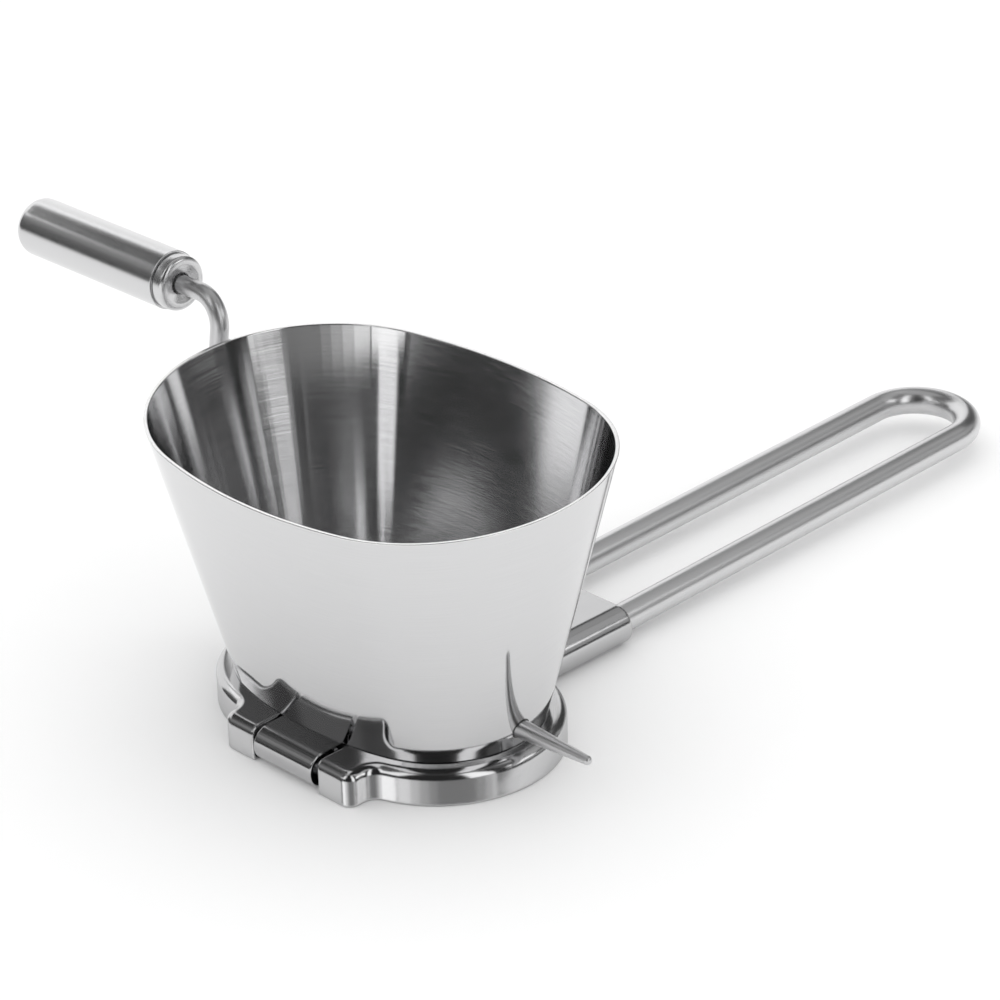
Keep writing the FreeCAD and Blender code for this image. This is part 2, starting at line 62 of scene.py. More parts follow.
Color = tuple[float, float, float]
Socket = bpy.types.NodeSocket
X_AXIS = np.array((1.0, 0.0, 0.0))
Y_AXIS = np.array((0.0, 1.0, 0.0))
Z_AXIS = np.array((0.0, 0.0, 1.0))


def linked(name: str, data: bpy.types.ID) -> bpy.types.Object:
    """Makes an object and links it to the scene.

    Args:
        name: Its name.
        data: Its mesh, camera or light.

    Returns:
        The object.
    """
    made = bpy.data.objects.new(name, data)
    bpy.context.scene.collection.objects.link(made)
    return made


# Surfaces on grids


def grid_object(
    name: str,
    points: np.ndarray,
    closed: bool = False,
    around_length: float = 1.0,
    finish_rows: Optional[np.ndarray] = None,
) -> bpy.types.Object:
    """Makes a mesh object from a grid of points whose columns run once around.

    The face between rows i and i + 1 and columns j and j + 1 is a quad, and the last column joins the first.
    The UV map is in metres: U is the share of the way around times around_length, and V is the mean distance
    along the rows.

    Args:
        name: The object's name.
        points: Places as an array of rows by columns by 3.
        closed: Whether the last row joins the first, too.
        around_length: The length once around, for U.
        finish_rows: The material slot of the faces that start at each row, or none for slot 0.

    Returns:
        The object, linked to the scene, with smooth faces that point outwards.
    """
    rows, columns = points.shape[:2]
    spans = rows if closed else rows - 1
    i, j = np.meshgrid(np.arange(spans), np.arange(columns), indexing="ij")
    below, beside = (i + 1) % rows, (j + 1) % columns
    row, next_row = i * columns, below * columns
    quads = np.stack([row + j, row + beside, next_row + beside, next_row + j], axis=-1)
    looped = np.concatenate([points, points[:1]]) if closed else points
    steps = np.linalg.norm(np.diff(looped, axis=0), axis=2).mean(axis=1)
    along = np.concatenate([[0.0], np.cumsum(steps)])
    u_low, u_high = j / columns * around_length, (j + 1) / columns * around_length
    v_low, v_high = along[i], along[i + 1]
    corners = [(u_low, v_low), (u_high, v_low), (u_high, v_high), (u_low, v_high)]
    uv = np.stack([np.stack(corner, axis=-1) for corner in corners], axis=2)

    mesh = bpy.data.meshes.new(name)
    mesh.from_pydata(points.reshape(-1, 3), [], quads.reshape(-1, 4))
    mesh.uv_layers.new(name=UV_NAME).data.foreach_set("uv", uv.astype(np.float32).ravel())
    mesh.polygons.foreach_set("use_smooth", np.ones(quads.shape[0] * columns, bool))
    if finish_rows is not None:
        mesh.polygons.foreach_set("material_index", np.repeat(finish_rows[:spans], columns).astype(np.int32))
    work = bmesh.new()
    work.from_mesh(mesh)
    bmesh.ops.remove_doubles(work, verts=work.verts, dist=SAME)
    bmesh.ops.recalc_face_normals(work, faces=work.faces)
    work.to_mesh(mesh)
    work.free()
    return linked(name, mesh)


def rounded_line(corners: Sequence[Sequence[float]], bends: Sequence[float], steps: int = 10) -> np.ndarray:
    """Walks along straight runs whose corners are rounded to arcs.

    Each corner's arc is tangent to both of its runs: it starts and ends r tan(turn / 2) from the corner, and
    its points are the centre plus r times a direction that turns evenly from one run's normal to the other's.

    Args:
        corners: Points in two or three dimensions.
        bends: The radius at each corner, with 0 for a sharp corner or an end.
        steps: How many steps each arc has.

    Returns:
        The points along the line, as rows.
    """
    places = np.asarray(corners, float)
    parts = []
    for k, radius in enumerate(bends):
        here = places[k]
        if radius <= 0:
            parts.append(here[None])
            continue
        back = places[k - 1] - here
        ahead = places[(k + 1) % len(places)] - here
        back, ahead = back / np.linalg.norm(back), ahead / np.linalg.norm(ahead)
        half_open = math.acos(float(np.clip(back @ ahead, -1, 1))) / 2
        middle = (back + ahead) / np.linalg.norm(back + ahead)
        center = here + middle * (radius / math.sin(half_open))
        sweep = math.pi / 2 - half_open
        across = (ahead - back) / np.linalg.norm(ahead - back)
        angles = np.linspace(-sweep, sweep, steps + 1)[:, None]
        parts.append(center + radius * (np.sin(angles) * across - np.cos(angles) * middle))
    return np.concatenate(parts)


def turned(profile: np.ndarray, center: np.ndarray, axis: np.ndarray, columns: int) -> np.ndarray:
    """Turns a profile about an axis.

    A point at (radius, distance) goes to centre + distance * axis + radius * (cos a * e1 + sin a * e2), for
    angles a all the way round.

    Args:
        profile: Rows of (radius, distance along the axis).
        center: The axis's zero point.
        axis: The axis's unit direction.
        columns: How many angles.

    Returns:
        The grid of points, rows by columns by 3.
    """
    first = np.cross(axis, Z_AXIS if abs(axis[2]) < NEARLY_UPRIGHT else X_AXIS)
    first /= np.linalg.norm(first)
    second = np.cross(axis, first)
    angles = np.linspace(0, 2 * np.pi, columns, endpoint=False)
    around = np.cos(angles)[:, None] * first + np.sin(angles)[:, None] * second
    return center + profile[:, 1, None, None] * axis + profile[:, 0, None, None] * around


def carried(path: np.ndarray, radii: np.ndarray, normal: np.ndarray, columns: int) -> np.ndarray:
    """Carries a circle along a path that lies in one plane.

    A point is path + radius * (cos a * side + sin a * normal), where side lies in the plane, square to the
    path.

    Args:
        path: Points along the path.
        radii: The circle's radius at each of them.
        normal: The plane's unit normal.
        columns: How many angles.

    Returns:
        The grid of points, rows by columns by 3.
    """
    along = np.gradient(path, axis=0)
    along /= np.linalg.norm(along, axis=1)[:, None]
    side = np.cross(along, normal)
    angles = np.linspace(0, 2 * np.pi, columns, endpoint=False)
    around = np.cos(angles)[:, None] * side[:, None] + np.sin(angles)[:, None] * normal
    return path[:, None] + radii[:, None, None] * around


def spread_rows(path: np.ndarray, spacing: float) -> np.ndarray:
    """Drops doubled points of a line and adds even ones, so that no step is longer than about the spacing.

    Args:
        path: Points along the line.
        spacing: The longest step that stays as it is.

    Returns:
        The points, with those between them worked out by linear interpolation over the distance walked.
    """
    apart = np.linalg.norm(np.diff(path, axis=0), axis=1) > SAME
    path = path[np.concatenate([[True], apart])]
    steps = np.linalg.norm(np.diff(path, axis=0), axis=1)
    walked = np.concatenate([[0.0], np.cumsum(steps)])
    counts = np.maximum(1, np.ceil(steps / spacing)).astype(int)
    places = np.repeat(walked[:-1], counts)
    share = np.concatenate([np.arange(n) for n in counts]) / np.repeat(counts, counts)
    places = np.append(places + share * np.repeat(steps, counts), walked[-1])
    return np.stack([np.interp(places, walked, path[:, k]) for k in range(path.shape[1])], axis=1)


def closed_ends(grid: np.ndarray) -> np.ndarray:
    """Closes a grid's two ends with flat caps.

    Args:
        grid: Points, rows by columns by 3.

    Returns:
        The grid with one more row at each end, where every point is the mean of that end's ring.
    """
    middles = grid[[0, -1]].mean(axis=1, keepdims=True).repeat(grid.shape[1], axis=1)
    return np.concatenate([middles[:1], grid, middles[1:]])


# Shader nodes

LINE_WIDTHS = (1.0, 0.6)
SMUDGES_PER_METRE = 70.0
SMUDGE_RANGE = (0.45, 0.7)
SCRATCHES_PER_METRE = (90.0, 8000.0, 8000.0)
SCRATCH_TURN = (0.5, 0.4, 0.9)
SCRATCH_RANGE = (0.72, 0.78)
BEVEL_SAMPLES = 6


class Nodes:
    """Adds nodes to one tree and joins their sockets."""

    def __init__(self, tree: bpy.types.NodeTree) -> None:
        """Starts with the tree that the nodes go into."""
        self.tree = tree

    def add(self, kind: str, values: Optional[dict] = None, **settings: object) -> bpy.types.Node:
        """Adds one node.

        Args:
            kind: The node's type name, without ShaderNode.
            values: Its input sockets by name or number, each a socket to join or a value to set.
            **settings: Its own properties.

        Returns:
            The node.
        """
        node = self.tree.nodes.new("ShaderNode" + kind)
        for key, value in settings.items():
            setattr(node, key, value)
        self.join(node, values or {})
        return node

    def join(self, node: bpy.types.Node, values: dict) -> None:
        """Fills the inputs of a node.

        Args:
            node: The node.
            values: Its input sockets by name or number, each a socket to join or a value to set.
        """
        for key, value in values.items():
            if isinstance(value, Socket):
                self.tree.links.new(value, node.inputs[key])
            else:
                node.inputs[key].default_value = value

    def math(self, operation: str, *terms: object) -> Socket:
        """Adds a math node on sockets or numbers, and returns its result."""
        return self.add("Math", dict(enumerate(terms)), operation=operation).outputs[0]

    def fit(self, value: Socket, low: float, high: float) -> Socket:
        """Maps a value from 0..1 to a range, and returns the result."""
        return self.add("MapRange", {"Value": value, "To Min": low, "To Max": high}).outputs[0]

    def mask(self, value: Socket, low: float, high: float) -> Socket:
        """Maps a range of a value to 0..1, and returns the result."""
        return self.add("MapRange", {"Value": value, "From Min": low, "From Max": high}).outputs[0]

    def mix(self, share: Socket, first: Color, second: Color) -> Socket:
        """Mixes two colours, which are inputs 6 and 7 of that node, and returns output 2, its colour."""
        values = {0: share, 6: (*first, 1.0), 7: (*second, 1.0)}
        return self.add("Mix", values, data_type="RGBA").outputs[2]


def new_paint(name: str) -> tuple[bpy.types.Material, Nodes, bpy.types.Node]:
    """Makes a material.

    Args:
        name: Its name.

    Returns:
        The material, its nodes and its shader.
    """
    made = bpy.data.materials.new(name)
    made.use_nodes = True
    return made, Nodes(made.node_tree), made.node_tree.nodes["Principled BSDF"]


class SocketKind(Enum):
    """What a group's socket carries."""

    VALUE = "NodeSocketFloat"
    VECTOR = "NodeSocketVector"


class ShaderGroup:
    """A node group with named sockets, which several finishes place with their own values."""

    def __init__(self, name: str, inputs: dict[str, SocketKind], outputs: dict[str, SocketKind]) -> None:
        """Makes the group and its sockets.

        Args:
            name: The group's name.
            inputs: The kind of each input by its name.
            outputs: The same, for what it puts out.
        """
        self.tree = bpy.data.node_groups.new(name, "ShaderNodeTree")
        for title, kind in inputs.items():
            self.tree.interface.new_socket(title, in_out="INPUT", socket_type=kind.value)
        for title, kind in outputs.items():
            self.tree.interface.new_socket(title, in_out="OUTPUT", socket_type=kind.value)
        self.nodes = Nodes(self.tree)
        self.start = self.tree.nodes.new("NodeGroupInput")
        self.end = self.tree.nodes.new("NodeGroupOutput")

    def put(self, title: str, socket: Socket) -> None:
        """Joins a socket to one of the group's outputs."""
        self.tree.links.new(socket, self.end.inputs[title])

    def place(self, nodes: Nodes, values: dict) -> bpy.types.Node:
        """Places the group in a material's tree with its values, and returns that node."""
        return nodes.add("Group", values, node_tree=self.tree)


class SteelEffects:
    """The effects that the finishes share: brushing lines, waviness of polishing, and marks of handling."""

    def __init__(self) -> None:
        """Builds each group once."""
        self.brushing = self.brushing_lines()
        self.wave = self.polish_wave()
        self.marks = self.handling_marks()

    @staticmethod
    def brushing_lines() -> ShaderGroup:
        """Fine lines: noise that is stretched along the first axis of its vector, at two widths.

        Returns:
            The group. Lines is a value from 0 to 1 that changes from line to line.
        """
        group = ShaderGroup(
            "brushing lines",
            {"Vector": SocketKind.VECTOR, "Length": SocketKind.VALUE, "Width": SocketKind.VALUE},
            {"Lines": SocketKind.VALUE},
        )
        nodes = group.nodes
        parts = nodes.add("SeparateXYZ", {0: group.start.outputs["Vector"]})
        along = nodes.math("DIVIDE", parts.outputs[0], group.start.outputs["Length"])
        layers = []
        for share in LINE_WIDTHS:
            width = nodes.math("MULTIPLY", group.start.outputs["Width"], share)
            across = nodes.math("DIVIDE", parts.outputs[1], width)
            deep = nodes.math("DIVIDE", parts.outputs[2], width)
            vector = nodes.add("CombineXYZ", {0: along, 1: across, 2: deep}).outputs[0]
            noise = nodes.add("TexNoise", {"Vector": vector, "Scale": 1.0, "Detail": 1.0})
            layers.append(noise.outputs["Fac"])
        total = nodes.math("ADD", layers[0], layers[1])
        group.put("Lines", nodes.math("MULTIPLY", total, 1 / len(LINE_WIDTHS)))
        return group

    @staticmethod
    def polish_wave() -> ShaderGroup:
        """The slight waviness that polishing leaves: soft noise a few millimetres across.

        Returns:
            The group. Height is a value from 0 to 1.
        """
        group = ShaderGroup(
            "polish wave",
            {"Vector": SocketKind.VECTOR, "Size": SocketKind.VALUE},
            {"Height": SocketKind.VALUE},
        )
        nodes = group.nodes
        vector = group.start.outputs["Vector"]
        scale = nodes.math("DIVIDE", 1.0, group.start.outputs["Size"])
        noise = nodes.add("TexNoise", {"Vector": vector, "Scale": scale, "Detail": 1.0})
        group.put("Height", noise.outputs["Fac"])
        return group

    @staticmethod
    def handling_marks() -> ShaderGroup:
        """Marks of handling: soft cloudy smudges and sparse hair scratches.

        Returns:
            The group. Smudge and Scratch are masks from 0 to 1.
        """
        group = ShaderGroup(
            "handling marks",
            {"Vector": SocketKind.VECTOR},
            {"Smudge": SocketKind.VALUE, "Scratch": SocketKind.VALUE},
        )
        nodes = group.nodes
        vector = group.start.outputs["Vector"]
        cloud = nodes.add("TexNoise", {"Vector": vector, "Scale": SMUDGES_PER_METRE, "Detail": 3.0})
        group.put("Smudge", nodes.mask(cloud.outputs["Fac"], *SMUDGE_RANGE))
        stretch = {"Vector": vector, "Rotation": SCRATCH_TURN, "Scale": SCRATCHES_PER_METRE}
        stretched = nodes.add("Mapping", stretch).outputs[0]
        hair = nodes.add("TexNoise", {"Vector": stretched, "Scale": 1.0, "Detail": 0.0})
        group.put("Scratch", nodes.mask(hair.outputs["Fac"], *SCRATCH_RANGE))
        return group


class Pattern(Enum):
    """Where a finish's pattern takes its place from."""

    ON_UV = "UV"
    ON_OBJECT = "Object"


@dataclass(frozen=True)
class Steel:
    """One finish of stainless steel."""

    name: str
    color: Color
    roughness: float
    roughness_spread: float = 0.03
    anisotropy: float = 0.0
    brush_turn: float = 0.0
    line_length: float = 12 * MM
    line_width: float = 0.35 * MM
    line_depth: float = 0.0
    wave_size: float = 9 * MM
    wave_depth: float = 0.0
    edge_round: float = 0.0
    draft: float = 0.0
    draft_end: float = 30 * MM
    draft_fade: float = 10 * MM
    line_tint: float = 0.06
    smudge: float = 0.015
    pattern: Pattern = Pattern.ON_UV
    pattern_turn: tuple[float, float, float] = (0.0, 0.0, 0.0)

    def cast_normal(self, nodes: Nodes, place: bpy.types.Node) -> Socket:
        """The normal of a casting, whose edges are soft and whose sides lean in a little, as its mould needs.

        It is the unit direction of the softened normal plus the draft times Z, and the draft fades out
        towards +X.

        Args:
            nodes: The material's nodes.
            place: Its texture coordinates.

        Returns:
            The normal's socket.
        """
        soft = nodes.add("Bevel", {"Radius": self.edge_round}, samples=BEVEL_SAMPLES).outputs["Normal"]
        x = nodes.add("SeparateXYZ", {0: place.outputs["Object"]}).outputs[0]
        fade = {"From Min": self.draft_end - self.draft_fade, "From Max": self.draft_end}
        lift = nodes.add("MapRange", {"Value": x, **fade, "To Min": self.draft, "To Max": 0.0}).outputs[0]
        upwards = nodes.add("CombineXYZ", {2: lift}).outputs[0]
        leaning = nodes.add("VectorMath", {0: soft, 1: upwards}, operation="ADD").outputs[0]
        return nodes.add("VectorMath", {0: leaning}, operation="NORMALIZE").outputs[0]

    def material(self, effects: SteelEffects) -> bpy.types.Material:
        """Builds the material.

        Args:
            effects: The shared groups.

        Returns:
            A metal whose colour, roughness and relief follow its brushing, waviness and marks.
        """
        made, nodes, shader = new_paint(self.name)
        constants = {"Metallic": 1.0, "Anisotropic": self.anisotropy, "Anisotropic Rotation": self.brush_turn}
        nodes.join(shader, constants)
        place = nodes.add("TexCoord")
        turned_place = nodes.add(
            "Mapping", {"Vector": place.outputs[self.pattern.value], "Rotation": self.pattern_turn}
        ).outputs[0]
        lines = effects.brushing.place(
            nodes, {"Vector": turned_place, "Length": self.line_length, "Width": self.line_width}
        ).outputs["Lines"]
        marks = effects.marks.place(nodes, {"Vector": place.outputs["Object"]})
        wave = effects.wave.place(nodes, {"Vector": place.outputs["Object"], "Size": self.wave_size})

        darker = tuple(c * (1 - self.line_tint) for c in self.color)
        lighter = tuple(min(1.0, c * (1 + self.line_tint)) for c in self.color)
        tint = nodes.mix(lines, darker, lighter)

        spread = self.roughness_spread
        base = nodes.fit(lines, self.roughness - spread, self.roughness + spread)
        smudged = nodes.math("MULTIPLY_ADD", marks.outputs["Smudge"], self.smudge, base)
        scratched = nodes.math("MULTIPLY_ADD", marks.outputs["Scratch"], spread, smudged)

        waved = nodes.add("Bump", {"Height": wave.outputs["Height"], "Distance": self.wave_depth})
        if self.edge_round:
            nodes.join(waved, {"Normal": self.cast_normal(nodes, place)})
        relief = {"Height": lines, "Distance": self.line_depth, "Normal": waved.outputs["Normal"]}
        brushed = nodes.add("Bump", relief).outputs["Normal"]
        nodes.join(shader, {"Base Color": tint, "Roughness": scratched, "Normal": brushed})
        if self.anisotropy and self.pattern is Pattern.ON_UV:
            tangent = nodes.add("Tangent", direction_type="UV_MAP", uv_map=UV_NAME)
            nodes.join(shader, {"Tangent": tangent.outputs[0]})
        return made


@dataclass(frozen=True)
class BearingPlastic:
    """The natural white plastic of the bushes."""

    name: str = "bearing plastic"
    color: Color = (0.80, 0.79, 0.75)
    roughness: float = 0.42
    haze_tint: float = 0.92
    haze_roughness: float = 0.1

    def material(self, effects: SteelEffects) -> bpy.types.Material:
        """Builds the material, with moulding haze in its colour and roughness.

        Args:
            effects: The shared groups.

        Returns:
            A soft white plastic.
        """
        made, nodes, shader = new_paint(self.name)
        place = nodes.add("TexCoord")
        haze = effects.marks.place(nodes, {"Vector": place.outputs["Object"]}).outputs["Smudge"]
        dull = tuple(c * self.haze_tint for c in self.color)
        tint = nodes.mix(haze, self.color, dull)
        rough = nodes.fit(haze, self.roughness, self.roughness + self.haze_roughness)
        nodes.join(shader, {"Base Color": tint, "Roughness": rough})
        return made


class Finishes:
    """Every finish on the mill, made once."""

    def __init__(self) -> None:
        """Makes the shared effects and each material."""
        effects = SteelEffects()
        # The casting's colour is darker than the sheet's partly as its own tone and partly as painted shade:
        # it stands in for the shaded table next to the ring that the casting's sides reflect.
        self.casting = Steel(
            "polished casting", (0.52, 0.52, 0.525), 0.13, 0.02,
            wave_size=7 * MM, wave_depth=0.04 * MM, edge_round=0.8 * MM, draft=0.35,
            pattern=Pattern.ON_OBJECT,
        ).material(effects)
        self.wall_outside = Steel(
            "satin sheet outside", (0.68, 0.68, 0.685), 0.075, 0.02, anisotropy=0.3, brush_turn=0.25,
            line_length=16 * MM, line_width=0.25 * MM, line_depth=0.0005 * MM,
        ).material(effects)
        self.wall_inside = Steel(
            "brushed sheet inside", (0.68, 0.68, 0.685), 0.11, 0.05, anisotropy=1.0, brush_turn=0.25,
            line_length=14 * MM, line_width=0.45 * MM, line_depth=0.001 * MM, line_tint=0.28,
        ).material(effects)
        self.cut_edge = Steel(
            "cut sheet edge", (0.80, 0.80, 0.80), 0.22, 0.05, line_length=2 * MM, line_width=0.2 * MM,
        ).material(effects)
        self.wire = Steel(
            "drawn wire", (0.66, 0.66, 0.665), 0.29, 0.03, anisotropy=0.3,
            line_length=0.3 * MM, line_width=20 * MM, line_depth=0.0005 * MM,
        ).material(effects)
        self.rod = Steel(
            "drawn rod", (0.62, 0.62, 0.625), 0.35, 0.03, anisotropy=0.3,
            line_length=0.3 * MM, line_width=16 * MM, line_depth=0.0005 * MM,
        ).material(effects)
        self.tube = Steel(
            "brushed tube", (0.64, 0.64, 0.645), 0.21, 0.03, anisotropy=0.4,
            line_length=0.35 * MM, line_width=20 * MM, line_depth=0.0002 * MM, line_tint=0.04,
        ).material(effects)
        self.collar = Steel(
            "polished collar", (0.64, 0.64, 0.645), 0.26, 0.05, wave_size=5 * MM, wave_depth=0.01 * MM,
        ).material(effects)
        self.hinge = Steel(
            "polished strip", (0.50, 0.50, 0.505), 0.13, 0.03, wave_size=6 * MM, wave_depth=0.02 * MM,
            pattern=Pattern.ON_OBJECT,
        ).material(effects)
        self.flange = Steel(
            "stamped flange", (0.62, 0.62, 0.625), 0.2, 0.05, line_length=10 * MM, line_width=0.3 * MM,
            pattern=Pattern.ON_OBJECT, pattern_turn=(0, 0, 1.57),
        ).material(effects)
        self.cutter = Steel(
            "ground cutter steel", (0.60, 0.60, 0.61), 0.24, 0.06, line_length=6 * MM, line_width=0.15 * MM,
            line_depth=0.002 * MM, line_tint=0.15, pattern=Pattern.ON_OBJECT, pattern_turn=(0, 0, 0.6),
        ).material(effects)
        self.fastener = Steel(
            "bright fastener", (0.64, 0.64, 0.65), 0.2, 0.05, wave_size=2 * MM, wave_depth=0.01 * MM,
            pattern=Pattern.ON_OBJECT,
        ).material(effects)
        self.plastic = BearingPlastic().material(effects)


def dress_node(name: str, material: bpy.types.Material) -> None:
    """Gives a solid's own mesh a material in place of its plain one.

    Args:
        name: The solid's node.
        material: The material.
    """
    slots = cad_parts[name].data.materials
    slots.clear()
    slots.append(material)
    LOG.info("%s keeps its solid, in %s", name, material.name)


def finish_piece(
    piece: bpy.types.Object, node: str, body: str, materials: Sequence[bpy.types.Material]
) -> None:
    """Dresses a new piece, lets it stand for a solid and rides it on a body.

    Args:
        piece: The piece.
        node: The solid that it stands for.
        body: The body that it moves with.
        materials: Its materials, in the order of its faces' slots.
    """
    for material in materials:
        piece.data.materials.append(material)
    even = piece.modifiers.new("even shading", "WEIGHTED_NORMAL")
    even.keep_sharp = True
    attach(piece, body)
    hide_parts(node)
    LOG.info("%s stands for %s, %d faces", piece.name, node, len(piece.data.polygons))


# The mill


def shaft_center() -> np.ndarray:
    """The middle of the crank's shaft, from the rotor's sleeve."""
    low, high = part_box("rotor_tube")
    return (np.array(low) + np.array(high)) / 2


@dataclass(frozen=True)
class Oval:
    """A four-arc oval: two side arcs of one radius, and two end arcs tangent to them."""

    half_width: float
    half_length: float
    side_radius: float
    center_x: float = 0.0

    def toward(self, other: "Oval", share: float) -> "Oval":
        """Finds an oval between this one and another, or past it.

        Args:
            other: The other oval.
            share: How much of the way to it.

        Returns:
            The oval, each of whose sizes lies that share of the way.
        """
        mine = (self.half_width, self.half_length, self.side_radius, self.center_x)
        theirs = (other.half_width, other.half_length, other.side_radius, other.center_x)
        return Oval(*[a + share * (b - a) for a, b in zip(mine, theirs)])

    def points(self, turns: np.ndarray, inset: float) -> np.ndarray:
        """Places on the oval, moved inwards by an inset.

        Each unit of the parameter is one arc, from the arc on +X round through +Y, and on each arc the
        normal's angle runs evenly. A place is the arc's centre plus its radius times the normal.

        Args:
            turns: Values of the parameter from 0 to 4.
            inset: How far inside the oval.

        Returns:
            Rows of x and y.
        """
        a, b, r = self.half_width, self.half_length, self.side_radius
        end_radius = (2 * r * a - a * a - b * b) / (2 * (r - b))
        end_center, side_center = b - end_radius, r - a
        join = math.atan2(end_center, side_center)
        joins = [-join, join, math.pi - join, math.pi + join, 2 * math.pi - join]
        angle = np.interp(turns, np.arange(len(joins)), joins)
        nx, ny = np.cos(angle), np.sin(angle)
        on_end = np.abs(ny) > math.sin(join)
        end_reach, side_reach = end_radius - inset, r - inset
        x = np.where(on_end, nx * end_reach, np.sign(nx) * (np.abs(nx) * side_reach - side_center))
        y = np.where(on_end, np.sign(ny) * (end_center + np.abs(ny) * end_reach), ny * side_reach)
        return np.stack([x + self.center_x, y], axis=1)


class WallFace(Enum):
    """The material slots of the hopper's wall."""

    OUTSIDE = 0
    INSIDE = 1
    EDGE = 2


@dataclass
class Hopper:
    """The flared oval wall of sheet, with its rim that climbs to the handle."""

    finishes: Finishes
    foot: Oval = Oval(28.7 * MM, 44.4 * MM, 90.0 * MM)
    mouth: Oval = Oval(44.2 * MM, 63.1 * MM, 140.0 * MM, -0.6 * MM)
    mouth_height: float = 78.2 * MM
    rim_tilt: float = math.radians(3.5)
    rim_sag: float = 1.5 * MM
    sheet: float = 1.0 * MM
    edge_ease: float = 0.22 * MM
    shaft_hole: float = 2.7 * MM
    columns: int = 512
    rows: int = 48
    ease_steps: int = 6
    line_reach: float = 1.2
    rim_guesses: tuple[float, float] = (0.7, 0.9)
    rim_steps: int = 6
    drill_columns: int = 64
    sharp_angle: float = math.radians(35)

    def rim_gap(self, points: np.ndarray) -> np.ndarray:
        """How far places lie above the rim's surface, a wide cylinder that dips across Y and climbs along X.

        Args:
            points: Rows of places.

        Returns:
            The height above the tilted plane, less the cylinder's own height there.
        """
        radius = (self.mouth.half_length**2 + self.rim_sag**2) / (2 * self.rim_sag)
        up = np.array((-math.sin(self.rim_tilt), 0.0, math.cos(self.rim_tilt)))
        height = (points - Z_AXIS * self.mouth_height) @ up
        return height - (radius - np.sqrt(radius**2 - points[:, 1] ** 2))

    def lines(self, inset: float) -> tuple[np.ndarray, np.ndarray]:
        """The wall's straight lines from foot to rim, on its outside or at an inset.

        The rim's place on each line comes from a few steps of the secant rule on the height above the rim's
        surface.

        Args:
            inset: How far inside the outer face.

        Returns:
            The lines' low ends and high ends.
        """
        turns = np.linspace(0, 4, self.columns, endpoint=False)
        foot_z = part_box("hopper_shell")[0].z
        far = self.foot.toward(self.mouth, self.line_reach)
        far_z = foot_z + self.line_reach * (self.mouth_height - foot_z)
        low = np.column_stack([self.foot.points(turns, inset), np.full(self.columns, foot_z)])
        high = np.column_stack([far.points(turns, inset), np.full(self.columns, far_z)])
        before, after = (np.full(self.columns, guess) for guess in self.rim_guesses)
        for _ in range(self.rim_steps):
            gap_before = self.rim_gap(low + before[:, None] * (high - low))
            gap_after = self.rim_gap(low + after[:, None] * (high - low))
            change = np.where(np.abs(gap_after - gap_before) < TINY, TINY, gap_after - gap_before)
            before, after = after, after - gap_after * (after - before) / change
        return low, low + after[:, None] * (high - low)

    def eased(self, start: np.ndarray, corner: np.ndarray, end: np.ndarray) -> np.ndarray:
        """Rows of a small round between two faces: a quadratic curve from one to the other by their corner.

        Args:
            start: Places on the first face, away from the corner.
            corner: The corners.
            end: Places on the second face, away from the corner.

        Returns:
            The rows, from an ease's width along the first face to an ease's width along the second.
        """
        def near(place: np.ndarray) -> np.ndarray:
            """The place an ease's width from the corner, towards another place."""
            way = place - corner
            return corner + way / np.linalg.norm(way, axis=1)[:, None] * self.edge_ease

        t = np.linspace(0, 1, self.ease_steps + 1)[:, None, None]
        return (1 - t) ** 2 * near(start) + 2 * t * (1 - t) * corner + t**2 * near(end)

    def wall(self) -> bpy.types.Object:
        """Makes the wall: up the outside, over the eased rim, down the inside and across the eased foot.

        Returns:
            The wall, with shaft holes in its ends.
        """
        out_low, out_high = self.lines(0.0)
        in_low, in_high = self.lines(self.sheet)
        share = np.linspace(0, 1, self.rows + 2)[1:-1, None, None]
        sections = [
            self.eased(in_low, out_low, out_high),
            out_low + share * (out_high - out_low),
            self.eased(out_low, out_high, in_high),
            self.eased(out_high, in_high, in_low),
            in_high + share * (in_low - in_high),
            self.eased(in_high, in_low, out_low),
        ]
        grid = np.concatenate(sections)
        # The cut edge is the rim's outer round, its flat and the first step of its inner round
        edge_start = len(sections[0]) + len(sections[1])
        edge_end = edge_start + self.ease_steps + 2
        faces = np.full(len(grid), WallFace.INSIDE.value)
        faces[:edge_start] = WallFace.OUTSIDE.value
        faces[edge_start:edge_end] = WallFace.EDGE.value
        around = float(np.linalg.norm(np.diff(out_high, axis=0), axis=1).sum())
        made = grid_object("hopper_wall", grid, True, around, faces)
        self.pierce(made)
        return made

    def pierce(self, wall: bpy.types.Object) -> None:
        """Cuts the shaft's holes through both ends of the wall.

        Args:
            wall: The wall.
        """
        reach = self.mouth.half_length
        profile = np.array([(0, -reach), (self.shaft_hole, -reach), (self.shaft_hole, reach), (0, reach)])
        drill = grid_object("shaft_drill", turned(profile, shaft_center(), Y_AXIS, self.drill_columns))
        cut = wall.modifiers.new("shaft holes", "BOOLEAN")
        cut.object = drill
        cut.solver = "EXACT"
        bpy.context.view_layer.update()
        shaped = wall.evaluated_get(bpy.context.evaluated_depsgraph_get())
        mesh = bpy.data.meshes.new_from_object(shaped)
        wall.modifiers.clear()
        wall.data = mesh
        mesh.set_sharp_from_angle(angle=self.sharp_angle)
        bpy.data.objects.remove(drill)

    def build(self) -> None:
        """Builds and dresses the hopper's pieces."""
        outside_inside_edge = (self.finishes.wall_outside, self.finishes.wall_inside, self.finishes.cut_edge)
        finish_piece(self.wall(), "hopper_shell", "hopper", outside_inside_edge)
        dress_node("seat_flange", self.finishes.flange)
        dress_node("hinge_leaf", self.finishes.hinge)
        dress_node("leaf_rivets", self.finishes.fastener)
        dress_node("bush_crank_side", self.finishes.plastic)
        dress_node("bush_point_side", self.finishes.plastic)


